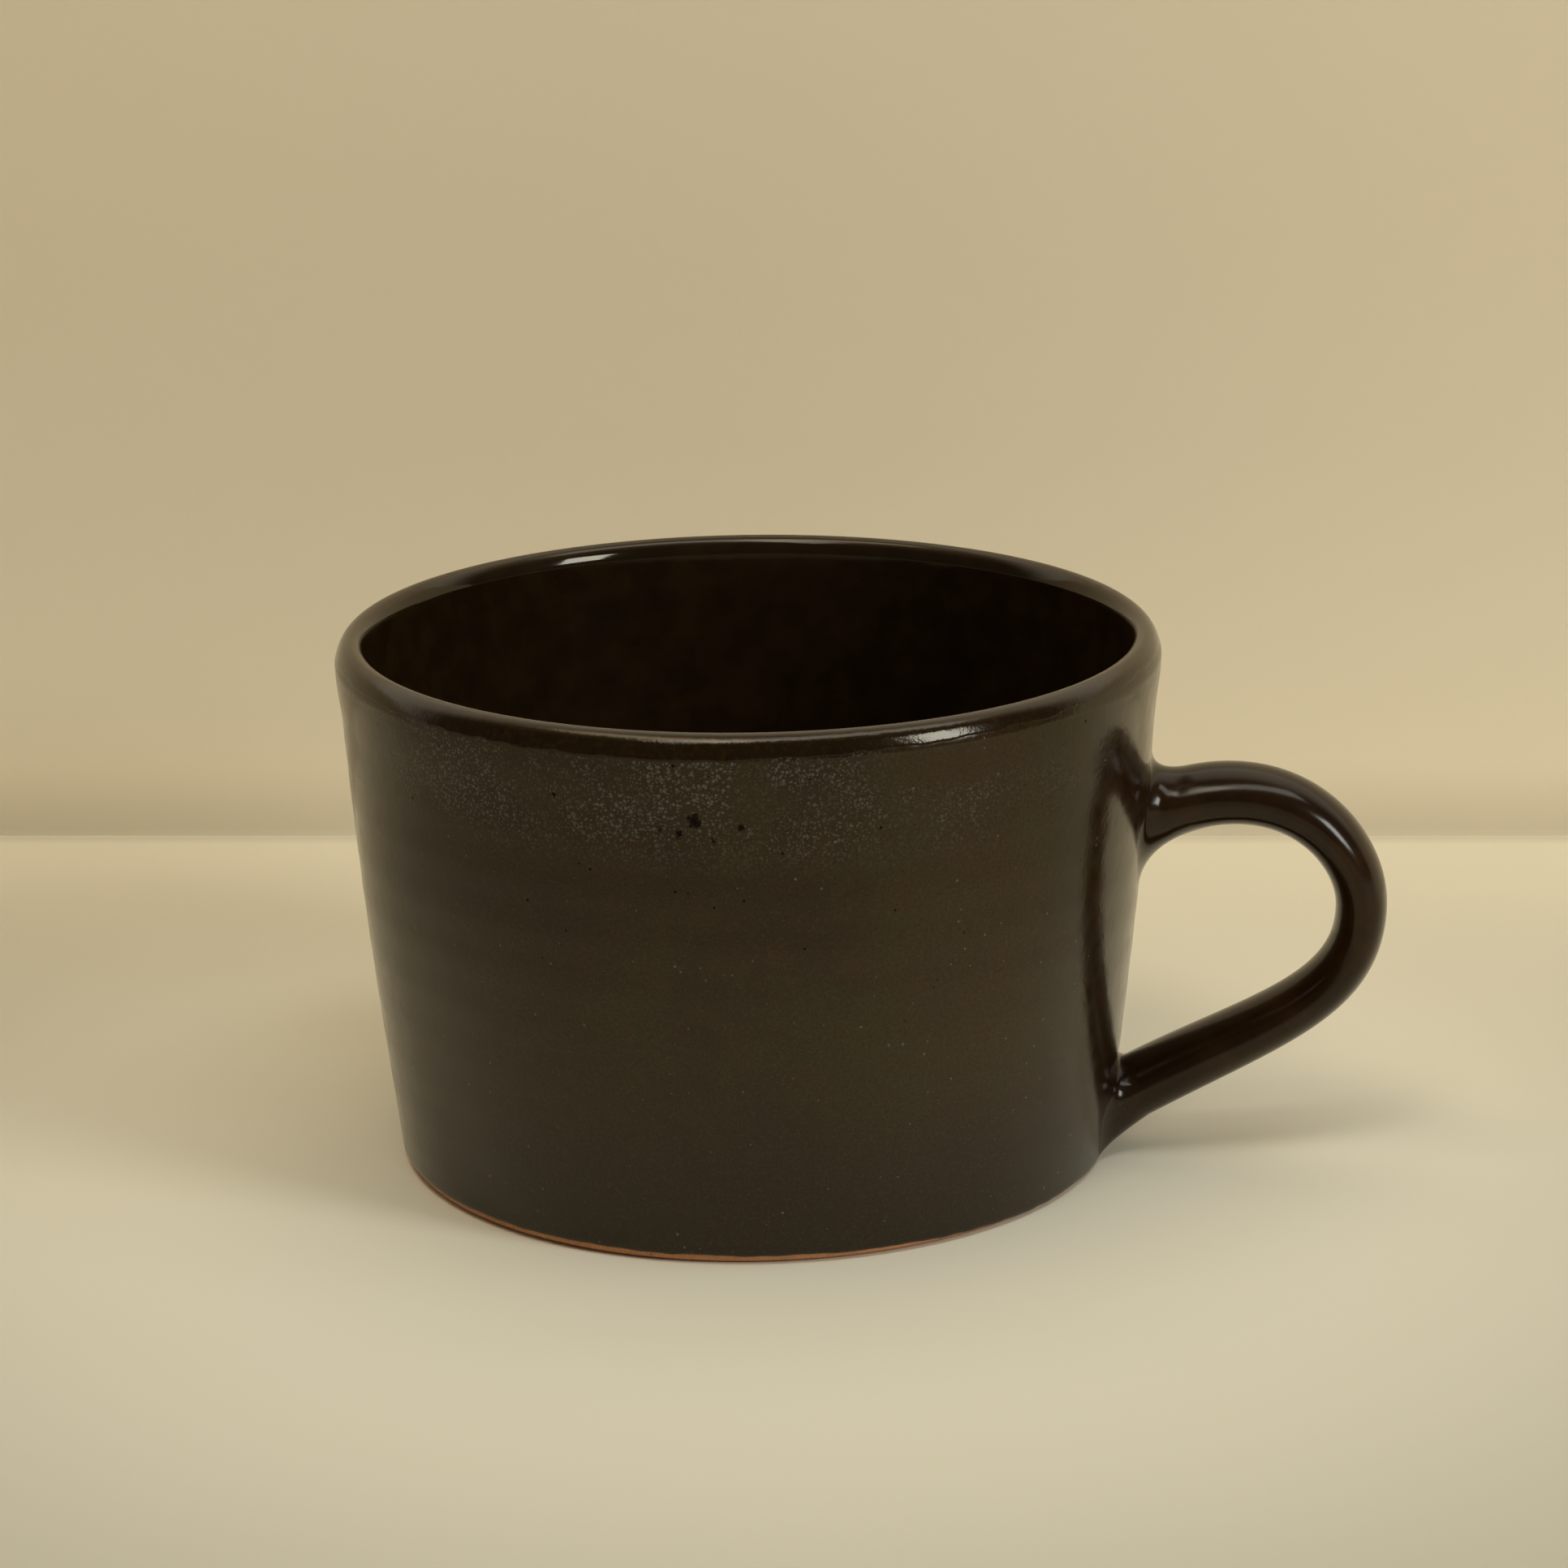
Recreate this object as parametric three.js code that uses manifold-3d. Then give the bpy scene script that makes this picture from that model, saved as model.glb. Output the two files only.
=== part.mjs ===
// A thrown stoneware mug with a pulled loop handle, glazed in three coats and bare at the foot.
// Millimetres, +Z up. The origin is the middle of the foot on the table and the handle points to +X.

import * as THREE from "three";
import { mergeVertices } from "three/addons/utils/BufferGeometryUtils.js";
import Module from "manifold-3d";

const wasm = await Module();
wasm.setup();

// Cup, measured over the glaze
const RIM_DIAMETER = 100;
const FOOT_DIAMETER = 87.2;
const HEIGHT = 65.2;
const WALL_BOW = 0.6;

// Clay of the cup
const RIM_WALL = 2.7;
const FOOT_WALL = 4.8;
const FLOOR = 5.5;
const FLOOR_CORNER = 10;
const FOOT_EDGE = 1;

// Glaze
const GLAZE = 0.4;
const HANDLE_GLAZE = 0.5;
const LIP_SWELL = 0.3;
const RIM_LAP = 3;
const BARE_ABOVE_EDGE = 0.2;

// Handle, over its clay: the drop is from the rim to the centre line at the wall,
// the clearance is under the clay at the wall, and angles are in degrees from level
const HANDLE_WIDTH = 10;
const END_THICKNESS = 6.8;
const BEND_THICKNESS = 5.3;
const UPPER_DROP = 21.9;
const LOWER_CLEARANCE = 1.7;
const CREST_RISE = 1.8;
const CREST_REACH = 10.6;
const HANDLE_REACH = 26.1;
const BEND_SHARE = 0.68;
const UPPER_ANGLE = 8;
const LOWER_ANGLE = 31;

// Lengths of the centre line's tangents, as shares of the distance that each curve covers
const RISE_PULL = 0.38;
const SHOULDER_PULL = 0.64;
const DROP_PULL = 0.43;
const ELBOW_PULL = 0.5;
const LEG_PULL = 0.66;

// Joins: how far the clay spreads over the wall and runs along the handle, above, below and to the sides,
// and how full it is, from 0 for a hollow fillet to 1 for a straight slope
const UPPER_SPREAD = { above: 3, below: 5.7, side: 3 };
const UPPER_RUN = { above: 5, below: 9.5, side: 4.2 };
const LOWER_SPREAD = { above: 0.4, below: 5, side: 3.5 };
const LOWER_RUN = { above: 1, below: 6.5, side: 4.5 };
const UPPER_FULLNESS = { above: 0, below: 0, side: 0 };
const LOWER_FULLNESS = { above: 0, below: 1, side: 0.3 };
const JOIN_EDGE = 0.2;
const GLAZE_EDGE = 0.15;
const GLAZE_RUN_DOWN = 0.25;

// Facets, and the search for where the handle meets the wall
const TURNS = 64;
const WALL_STEPS = 6;
const RIM_STEPS = 6;
const CORNER_STEPS = 4;
const EDGE_STEPS = 3;
const HANDLE_SIDES = 16;
const HANDLE_STEPS = 24;
const FILLET_STEPS = 4;
const SEARCH_STEPS = 40;
const SEARCH_SHARE = 0.15;

// Heights and radii that follow from the sizes above
const lipHeight = HEIGHT - GLAZE - RIM_WALL / 2;
const lapHeight = HEIGHT - RIM_LAP;
const glazeLine = FOOT_EDGE + BARE_ABOVE_EDGE;
const wallTopRadius = RIM_DIAMETER / 2 - LIP_SWELL;
const rimCentre = wallTopRadius - GLAZE - RIM_WALL / 2;

// Radius of the glazed wall and of the clay under it, at a height
function wallRadius(z) {
  const share = z / lipHeight;
  const straight = FOOT_DIAMETER / 2 + (wallTopRadius - FOOT_DIAMETER / 2) * share;
  return straight + 4 * WALL_BOW * share * (1 - share);
}

function clayRadius(z) {
  return wallRadius(z) - GLAZE;
}

// Points of a profile: x is the radius and y the height
function arcPoints(centreX, centreY, radiusAt, from, to, steps) {
  const points = [];
  for (let i = 0; i <= steps; i++) {
    const angle = from + ((to - from) * i) / steps;
    const radius = radiusAt(angle);
    points.push(new THREE.Vector2(centreX + radius * Math.cos(angle), centreY + radius * Math.sin(angle)));
  }
  return points;
}

function wallPoints(radiusAt, from, to, steps) {
  const points = [];
  for (let i = 0; i <= steps; i++) {
    const z = from + ((to - from) * i) / steps;
    points.push(new THREE.Vector2(radiusAt(z), z));
  }
  return points;
}

// The inside from the rim down the wall and round the corner to the floor, raised off the clay by a coat
const innerTop = rimCentre - RIM_WALL / 2;
const innerFoot = clayRadius(FLOOR) - FOOT_WALL;
const innerLean = Math.atan2(innerTop - innerFoot, lipHeight - FLOOR);
const cornerX = innerFoot - (FLOOR_CORNER * (1 - Math.sin(innerLean))) / Math.cos(innerLean);
const cornerY = FLOOR + FLOOR_CORNER;

function insidePoints(coat, swell) {
  const rim = arcPoints(
    rimCentre,
    lipHeight,
    (angle) => RIM_WALL / 2 + coat + swell * Math.max(0, Math.cos(angle)),
    0,
    Math.PI - innerLean,
    RIM_STEPS,
  );
  const cornerRound = () => FLOOR_CORNER - coat;
  const corner = arcPoints(cornerX, cornerY, cornerRound, -innerLean, -Math.PI / 2, CORNER_STEPS);
  return [...rim, ...corner, new THREE.Vector2(0, FLOOR + coat)];
}

// Solids and meshes
function solidOf(geometry) {
  const bare = geometry.clone();
  bare.deleteAttribute("normal");
  bare.deleteAttribute("uv");
  const merged = mergeVertices(bare);
  const mesh = new wasm.Mesh({
    numProp: 3,
    vertProperties: merged.attributes.position.array,
    triVerts: new Uint32Array(merged.index.array),
  });
  return new wasm.Manifold(mesh);
}

function geometryOf(solid) {
  const mesh = solid.getMesh();
  const geometry = new THREE.BufferGeometry();
  geometry.setAttribute("position", new THREE.BufferAttribute(mesh.vertProperties, 3));
  geometry.setIndex(new THREE.BufferAttribute(mesh.triVerts, 1));
  geometry.computeVertexNormals();
  return geometry;
}

function turned(profile) {
  return new THREE.LatheGeometry(profile, TURNS).rotateX(Math.PI / 2);
}

// A closed skin over a row of rings, with a fan over each end
function lofted(rings) {
  const sides = rings[0].length;
  const points = rings.flat();
  const first = new THREE.Vector3();
  const last = new THREE.Vector3();
  for (let i = 0; i < sides; i++) {
    first.addScaledVector(rings[0][i], 1 / sides);
    last.addScaledVector(rings[rings.length - 1][i], 1 / sides);
  }
  points.push(first, last);
  const firstIndex = points.length - 2;
  const lastIndex = points.length - 1;
  const lastRow = (rings.length - 1) * sides;
  const index = [];
  for (let i = 0; i < sides; i++) {
    const j = (i + 1) % sides;
    index.push(firstIndex, i, j);
    index.push(lastIndex, lastRow + j, lastRow + i);
    for (let k = 0; k < rings.length - 1; k++) {
      const row = k * sides;
      index.push(row + i, row + sides + i, row + j);
      index.push(row + j, row + sides + i, row + sides + j);
    }
  }
  const geometry = new THREE.BufferGeometry().setFromPoints(points);
  return geometry.setIndex(index);
}

// Centre line of the handle, in the XZ plane: rise to the crest, bend to the outermost point, leg to the wall
const upperAngle = THREE.MathUtils.degToRad(UPPER_ANGLE);
const lowerAngle = THREE.MathUtils.degToRad(LOWER_ANGLE);
const upperSeat = HEIGHT - UPPER_DROP;
const lowerSeat = LOWER_CLEARANCE + END_THICKNESS / 2 / Math.cos(lowerAngle);
const upperWall = wallRadius(upperSeat);
const lowerWall = wallRadius(lowerSeat);
const crestX = upperWall + CREST_REACH;
const crestZ = upperSeat + CREST_RISE;
const outerX = upperWall + HANDLE_REACH;
const outerZ = lowerSeat + BEND_SHARE * (upperSeat - lowerSeat);

function inPlane(x, z) {
  return new THREE.Vector3(x, 0, z);
}

const risePull = RISE_PULL * CREST_REACH;
const legPull = LEG_PULL * (outerX - lowerWall);
const rise = new THREE.CubicBezierCurve3(
  inPlane(upperWall, upperSeat),
  inPlane(upperWall + risePull * Math.cos(upperAngle), upperSeat + risePull * Math.sin(upperAngle)),
  inPlane(crestX - risePull, crestZ),
  inPlane(crestX, crestZ),
);
const bend = new THREE.CubicBezierCurve3(
  inPlane(crestX, crestZ),
  inPlane(crestX + SHOULDER_PULL * (outerX - crestX), crestZ),
  inPlane(outerX, outerZ + DROP_PULL * (crestZ - outerZ)),
  inPlane(outerX, outerZ),
);
const leg = new THREE.CubicBezierCurve3(
  inPlane(outerX, outerZ),
  inPlane(outerX, outerZ - ELBOW_PULL * (outerZ - lowerSeat)),
  inPlane(lowerWall + legPull * Math.cos(lowerAngle), lowerSeat + legPull * Math.sin(lowerAngle)),
  inPlane(lowerWall, lowerSeat),
);
const centreLine = new THREE.CurvePath();
centreLine.add(rise);
centreLine.add(bend);
centreLine.add(leg);
const handleLength = centreLine.getLength();

// A point of the handle's skin: u runs along the centre line and on past its ends, turn goes round it
function skinPoint(u, turn, coat) {
  const inside = THREE.MathUtils.clamp(u, 0, 1);
  const tangent = centreLine.getTangentAt(inside);
  const point = centreLine.getPointAt(inside).addScaledVector(tangent, (u - inside) * handleLength);
  const outward = new THREE.Vector3(-tangent.z, 0, tangent.x);
  const bendShare = Math.sin(Math.PI * inside) ** 2;
  const thickness = END_THICKNESS + (BEND_THICKNESS - END_THICKNESS) * bendShare;
  point.addScaledVector(outward, (thickness / 2 + coat) * Math.cos(turn));
  point.y += (HANDLE_WIDTH / 2 + coat) * Math.sin(turn);
  return point;
}

// Where a line of the skin meets the wall, searched from the free side towards the inside of the cup
function wallMeeting(turn, coat, radiusAt, seat) {
  const inwards = seat === 0 ? -1 : 1;
  let free = seat - inwards * SEARCH_SHARE;
  let buried = seat + inwards * SEARCH_SHARE;
  for (let i = 0; i < SEARCH_STEPS; i++) {
    const middle = (free + buried) / 2;
    const point = skinPoint(middle, turn, coat);
    if (Math.hypot(point.x, point.y) > radiusAt(point.z)) free = middle;
    else buried = middle;
  }
  return free;
}

// A size that is given above, below and to the sides, at a turn of the section
function around(size, turn, aboveIsOutward) {
  const cosine = aboveIsOutward ? Math.cos(turn) : -Math.cos(turn);
  const upright = cosine > 0 ? size.above : size.below;
  return upright * cosine ** 2 + size.side * Math.sin(turn) ** 2;
}

// The fillet from the handle's skin to the wall on one line of the skin.
// A hollow fillet runs along the skin at one end and along the wall at the other.
function filletLine(turn, coat, radiusAt, edge, lowest, join) {
  const meeting = wallMeeting(turn, coat, radiusAt, join.seat);
  const away = join.seat === 0 ? 1 : -1;
  const start = meeting + (away * around(join.run, turn, join.aboveIsOutward)) / handleLength;
  const first = skinPoint(start, turn, coat);
  const corner = skinPoint(meeting, turn, coat);
  const angle = Math.atan2(corner.y, corner.x);
  const radius = Math.hypot(corner.x, corner.y);
  const onWall = new THREE.Vector2(angle * radius, corner.z - join.height);
  const reach = onWall.length() + coat + around(join.spread, turn, join.aboveIsOutward);
  const spread = onWall.clone().setLength(reach);
  const footZ = Math.max(lowest, join.height + spread.y);
  const footAngle = spread.x / radius;
  const wallPoint = (offset) => {
    const footRadius = radiusAt(footZ) + offset;
    return new THREE.Vector3(footRadius * Math.cos(footAngle), footRadius * Math.sin(footAngle), footZ);
  };
  const last = wallPoint(edge);
  const halfway = first.clone().lerp(last, 0.5);
  const pull = corner.lerp(halfway, around(join.fullness, turn, join.aboveIsOutward));
  const curve = new THREE.QuadraticBezierCurve3(first, pull, last);
  return { start, points: curve.getPoints(FILLET_STEPS), buried: wallPoint(-HANDLE_WIDTH / 2) };
}

const upperEnd = {
  seat: 0,
  height: upperSeat,
  spread: UPPER_SPREAD,
  run: UPPER_RUN,
  fullness: UPPER_FULLNESS,
  aboveIsOutward: true,
};
const lowerEnd = {
  seat: 1,
  height: lowerSeat,
  spread: LOWER_SPREAD,
  run: LOWER_RUN,
  fullness: LOWER_FULLNESS,
  aboveIsOutward: false,
};
const turns = Array.from({ length: HANDLE_SIDES }, (_, i) => (2 * Math.PI * i) / HANDLE_SIDES);

// Rings of a join from inside the wall out to where it runs into the handle
function joinRings(coat, radiusAt, edge, lowest, join) {
  const lines = turns.map((turn) => filletLine(turn, coat, radiusAt, edge, lowest, join));
  const rings = [lines.map((line) => line.buried)];
  for (let k = FILLET_STEPS; k >= 0; k--) rings.push(lines.map((line) => line.points[k]));
  return { rings, starts: lines.map((line) => line.start) };
}

function plainRing(u, coat) {
  return turns.map((turn) => skinPoint(u, turn, coat));
}

// Clay of the cup
const footRound = clayRadius(FOOT_EDGE) - FOOT_EDGE;
const foot = arcPoints(footRound, FOOT_EDGE, () => FOOT_EDGE, -Math.PI / 2, 0, EDGE_STEPS);
const clayWall = wallPoints(clayRadius, glazeLine, lapHeight, WALL_STEPS);
const clayInside = insidePoints(0, 0);
const cupProfile = [new THREE.Vector2(0, 0), ...foot, ...clayWall, ...clayInside];
const cupGeometry = turned(cupProfile);

// The cup without its hollow, carried on below the table, for cutting what is set against the wall
const below = -2 * HANDLE_WIDTH;
const coreProfile = [new THREE.Vector2(0, below), new THREE.Vector2(foot[0].x, below), ...foot, ...clayWall];
coreProfile.push(clayInside[0], new THREE.Vector2(0, lipHeight));
const cupCore = solidOf(turned(coreProfile));

// Clay of the handle and of its joins
const overrun = END_THICKNESS / handleLength;
const handleRings = [plainRing(-overrun, 0)];
for (let k = 0; k <= HANDLE_STEPS; k++) handleRings.push(plainRing(k / HANDLE_STEPS, 0));
handleRings.push(plainRing(1 + overrun, 0));
const handleBlank = solidOf(lofted(handleRings));

const upperBlank = solidOf(lofted(joinRings(JOIN_EDGE, clayRadius, JOIN_EDGE, FOOT_EDGE, upperEnd).rings));
const lowerJoin = joinRings(JOIN_EDGE, clayRadius, JOIN_EDGE, FOOT_EDGE, lowerEnd);
const lowerBlank = solidOf(lofted(lowerJoin.rings.reverse()));

const handleSolid = handleBlank.subtract(cupCore);
const upperSolid = upperBlank.subtract(cupCore).subtract(handleBlank);
const lowerSolid = lowerBlank.subtract(cupCore).subtract(handleBlank);

// Glaze over the handle and joins, in one skin from wall to wall
const lowestGlaze = FOOT_EDGE - GLAZE_RUN_DOWN;
const upperSkin = joinRings(HANDLE_GLAZE, wallRadius, GLAZE_EDGE, lowestGlaze, upperEnd);
const lowerSkin = joinRings(HANDLE_GLAZE, wallRadius, GLAZE_EDGE, lowestGlaze, lowerEnd);
const skinRings = [...upperSkin.rings];
for (let k = 1; k < HANDLE_STEPS; k++) {
  const share = k / HANDLE_STEPS;
  const ring = turns.map((turn, i) => {
    const u = upperSkin.starts[i] + (lowerSkin.starts[i] - upperSkin.starts[i]) * share;
    return skinPoint(u, turn, HANDLE_GLAZE);
  });
  skinRings.push(ring);
}
skinRings.push(...lowerSkin.rings.reverse());
const skinBlank = solidOf(lofted(skinRings));
const handleClay = handleBlank.add(upperBlank).add(lowerBlank);
const handleGlaze = skinBlank.subtract(cupCore).subtract(handleClay);

// Glaze of the wall, between the foot and the lap
const glazedWall = wallPoints(wallRadius, glazeLine, lapHeight, WALL_STEPS);
const wallCoat = [...clayWall.slice().reverse(), ...glazedWall, clayWall[clayWall.length - 1]];
const outerGlaze = solidOf(turned(wallCoat)).subtract(skinBlank);

// Glaze of the inside, lapping over the rim and down the outside
const linerFace = insidePoints(GLAZE, LIP_SWELL);
const lapFoot = new THREE.Vector2(wallRadius(lapHeight) + LIP_SWELL / 2, lapHeight);
const linerProfile = [new THREE.Vector2(0, FLOOR), ...clayInside.slice(0, -1).reverse()];
linerProfile.push(clayWall[clayWall.length - 1], lapFoot, ...linerFace);
const linerGeometry = turned(linerProfile);

// Materials
const clay = new THREE.MeshStandardMaterial({ color: 0xa9764f, roughness: 0.9, metalness: 0 });
const glossy = new THREE.MeshStandardMaterial({ color: 0x1c130b, roughness: 0.12, metalness: 0 });
const satin = new THREE.MeshStandardMaterial({ color: 0x3e3526, roughness: 0.4, metalness: 0 });
const dark = new THREE.MeshStandardMaterial({ color: 0x261c14, roughness: 0.2, metalness: 0 });

const group = new THREE.Group();

function place(name, geometry, material) {
  const mesh = new THREE.Mesh(geometry, material);
  mesh.name = name;
  group.add(mesh);
}

place("cup_body", cupGeometry, clay);
place("handle", geometryOf(handleSolid), clay);
place("upper_join", geometryOf(upperSolid), clay);
place("lower_join", geometryOf(lowerSolid), clay);
place("liner_glaze", linerGeometry, glossy);
place("outer_glaze", geometryOf(outerGlaze), satin);
place("handle_glaze", geometryOf(handleGlaze), dark);

export default group;
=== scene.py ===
"""Looks of the stoneware mug: meshes of its clay and glazes, their materials, and the studio round it."""

import math

import bpy
import numpy as np
from mathutils import Matrix, Vector


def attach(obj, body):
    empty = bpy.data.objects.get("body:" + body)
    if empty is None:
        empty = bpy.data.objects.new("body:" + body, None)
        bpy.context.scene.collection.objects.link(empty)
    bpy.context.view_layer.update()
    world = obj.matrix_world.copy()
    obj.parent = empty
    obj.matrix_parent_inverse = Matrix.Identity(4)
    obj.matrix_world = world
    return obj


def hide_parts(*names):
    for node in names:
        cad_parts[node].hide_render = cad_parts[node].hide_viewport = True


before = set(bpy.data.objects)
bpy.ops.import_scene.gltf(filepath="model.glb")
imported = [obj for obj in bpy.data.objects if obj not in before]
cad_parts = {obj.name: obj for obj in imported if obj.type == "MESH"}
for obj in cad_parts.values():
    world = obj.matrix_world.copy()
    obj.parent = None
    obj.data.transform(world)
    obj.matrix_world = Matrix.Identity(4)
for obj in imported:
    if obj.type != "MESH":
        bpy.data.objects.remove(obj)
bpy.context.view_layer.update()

# Sizes of the solids, in millimetres
RIM_RADIUS = 50.0
FOOT_RADIUS = 43.6
HEIGHT = 65.2
WALL_BOW = 0.6
RIM_WALL = 2.7
FOOT_WALL = 4.8
FLOOR = 5.5
FLOOR_CORNER = 10.0
FOOT_EDGE = 1.0
GLAZE = 0.4
HANDLE_GLAZE = 0.43
LIP_SWELL = 0.3
HANDLE_WIDTH = 10.0
END_THICKNESS = 6.8
BEND_THICKNESS = 5.3
UPPER_DROP = 21.9
LOWER_CLEARANCE = 1.7
CREST_RISE = 1.8
CREST_REACH = 10.6
HANDLE_REACH = 26.1
BEND_SHARE = 0.68
UPPER_ANGLE = math.radians(8)
LOWER_ANGLE = math.radians(31)
RISE_PULL = 0.38
SHOULDER_PULL = 0.64
DROP_PULL = 0.43
ELBOW_PULL = 0.5
LEG_PULL = 0.66

# Heights and radii that follow
LIP_HEIGHT = HEIGHT - GLAZE - RIM_WALL / 2
WALL_TOP = RIM_RADIUS - LIP_SWELL
RIM_CENTRE = WALL_TOP - GLAZE - RIM_WALL / 2

# The camera of the photograph: the handle is turned 6 degrees towards it
FRONT = math.radians(-84)
CAMERA_ELEVATION = math.radians(17.47)
CAMERA_DISTANCE = 580.0
CAMERA_AIM = 33.0
CAMERA_LENS = 108.41
CAMERA_SENSOR = 36
CAMERA_CLIP = (0.01, 20)
CAMERA_YAW = math.radians(0.409)
CAMERA_PITCH = math.radians(1.159)
CAMERA_ROLL = math.radians(-0.88)

TURNS = 360
MM = 0.001
TAU = 2 * math.pi


def smooth(low, high, value):
    """A soft step from 0 at low to 1 at high."""
    share = np.clip((value - low) / (high - low), 0, 1)
    return share * share * (3 - 2 * share)


def make_camera():
    """The camera, aimed at the axis of the cup and then turned by the small angles of the photograph."""
    elevation = CAMERA_ELEVATION
    outward = Vector((math.cos(FRONT), math.sin(FRONT), 0))
    place = outward * CAMERA_DISTANCE * math.cos(elevation)
    place.z = CAMERA_AIM + CAMERA_DISTANCE * math.sin(elevation)
    forward = -outward * math.cos(elevation)
    forward.z = -math.sin(elevation)
    right = forward.cross(Vector((0, 0, 1))).normalized()
    up = right.cross(forward)
    aim = Matrix((right, up, forward))
    yaw = Matrix.Rotation(-CAMERA_YAW, 3, "Y")
    pitch = Matrix.Rotation(CAMERA_PITCH, 3, "X")
    roll = Matrix.Rotation(-CAMERA_ROLL, 3, "Z")
    rows = roll @ pitch @ yaw @ aim
    turned = Matrix((rows[0], rows[1], -rows[2])).transposed()
    data = bpy.data.cameras.new("photo_camera")
    data.lens = CAMERA_LENS
    data.sensor_width = CAMERA_SENSOR
    data.clip_start, data.clip_end = CAMERA_CLIP
    camera = bpy.data.objects.new("photo_camera", data)
    camera.matrix_world = Matrix.Translation(place * MM) @ turned.to_4x4()
    bpy.context.scene.collection.objects.link(camera)
    bpy.context.scene.camera = camera


make_camera()


# Meshes
def ring_faces(rows, columns, closed):
    """Quads of a grid that closes round its columns, and round its rows too if closed."""
    row = np.arange(rows if closed else rows - 1)[:, None]
    column = np.arange(columns)[None, :]
    here = row * columns
    there = (row + 1) % rows * columns
    beside = (column + 1) % columns
    return np.stack([here + column, here + beside, there + beside, there + column], -1).reshape(-1, 4)


def shown(name, points, faces, slot, *nodes):
    """A smooth mesh object in metres that stands for CAD nodes."""
    mesh = bpy.data.meshes.new(name)
    mesh.from_pydata((points * MM).tolist(), [], faces)
    mesh.polygons.foreach_set("use_smooth", [True] * len(mesh.polygons))
    mesh.update()
    piece = bpy.data.objects.new(name, mesh)
    bpy.context.scene.collection.objects.link(piece)
    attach(piece, "root")
    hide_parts(*nodes)
    return piece


ANGLES = np.arange(TURNS) * TAU / TURNS
FROM_FRONT = (np.degrees(ANGLES - FRONT) + 180) % 360 - 180


def around(radius, height):
    """Points of one ring, whose radius and height may change with the angle."""
    radius = np.broadcast_to(radius, ANGLES.shape)
    height = np.broadcast_to(height, ANGLES.shape)
    return np.stack([radius * np.cos(ANGLES), radius * np.sin(ANGLES), height], -1)


def ripple(seed, lowest, highest):
    """A smooth random wave round the cup, with a spread of about one."""
    random = np.random.default_rng(seed)
    total = np.zeros(TURNS)
    for count in range(lowest, highest + 1):
        total += random.normal() * np.cos(count * ANGLES + random.uniform(0, TAU))
    return total / math.sqrt((highest - lowest + 1) / 2)


# The cup's surfaces
def wall_radius(z):
    share = z / LIP_HEIGHT
    straight = FOOT_RADIUS + (WALL_TOP - FOOT_RADIUS) * share
    return straight + 4 * WALL_BOW * share * (1 - share)


def throwing_rings(z, angle):
    """Faint spiral rings that the potter's fingers left on the wall."""
    turn = angle / TAU
    wide = 0.02 * np.sin(TAU * (z / 6.1 + turn))
    narrow = 0.008 * np.sin(TAU * (z / 2.3 - 2 * turn) + 1)
    lean = 0.022 * np.sin(3 * angle + 0.09 * z) + 0.014 * np.sin(5 * angle - 0.15 * z + 2)
    return (wide + narrow + lean) * smooth(2, 9, z) * (1 - smooth(52, 61, z))


def wall_surface(z, angle):
    return wall_radius(z) + throwing_rings(z, angle) + lip_swell(z)


inner_top = RIM_CENTRE - RIM_WALL / 2
inner_foot = wall_radius(FLOOR) - GLAZE - FOOT_WALL
inner_lean = math.atan2(inner_top - inner_foot, LIP_HEIGHT - FLOOR)
inner_start_x = RIM_CENTRE - (RIM_WALL / 2 + GLAZE) * math.cos(inner_lean)
inner_start_z = LIP_HEIGHT + (RIM_WALL / 2 + GLAZE) * math.sin(inner_lean)

# Outline of the glazed rim: tilt of the surface in degrees along its way,
# first up the outside to the crown and then down the inside
RIM_TOP = HEIGHT - 0.012
RIM_EDGE = RIM_RADIUS - 0.08
OUTSIDE_WAY = (0, 0.5, 1.9, 3.2, 4.0)
OUTSIDE_TILT = (-3.4, 15, 26, 55, 90)
INSIDE_WAY = (0, 0.9, 2.8)
INSIDE_TILT = (90, 40, math.degrees(inner_lean))
CROWN_FALL = 0.03
SWELL_RUN = 7
SWELL_STOP = 0.5
WALL_RUN = 4
WALL_ROWS = 40
BEND_ROWS = 60


def bend(way, tilt):
    """Depth and rise along a curve whose tilt is given at some lengths of its way."""
    along = np.linspace(0, way[-1], BEND_ROWS)
    lean = np.radians(np.interp(along, way, tilt))
    middle = (lean[1:] + lean[:-1]) / 2
    depth = np.concatenate([[0], np.cumsum(np.sin(middle))]) * along[1]
    rise = np.concatenate([[0], np.cumsum(np.cos(middle))]) * along[1]
    return depth, rise


outside_depth, outside_rise = bend(OUTSIDE_WAY, OUTSIDE_TILT)
ROUND_START = RIM_TOP - outside_rise[-1]


def lip_swell(z):
    """How far the wall swells outwards just below the rim."""
    swell = RIM_EDGE - wall_radius(ROUND_START)
    return swell * smooth(ROUND_START - SWELL_RUN, ROUND_START - SWELL_STOP, z)


def rim_outline():
    """Radius and height along the outline: up the wall, over the crown and down the inside."""
    z = np.linspace(ROUND_START - WALL_RUN, ROUND_START, WALL_ROWS)
    wall = np.stack([wall_radius(z) + lip_swell(z), z], -1)
    outside = np.stack([RIM_EDGE - outside_depth, ROUND_START + outside_rise], -1)[1:]
    depth, fall = bend(INSIDE_WAY, INSIDE_TILT)
    z = RIM_TOP - CROWN_FALL - fall
    end_x = inner_start_x + (z[-1] - inner_start_z) * math.tan(inner_lean)
    inside = np.stack([end_x + depth[-1] - depth, z], -1)
    return np.concatenate([wall, outside, inside])


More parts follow.
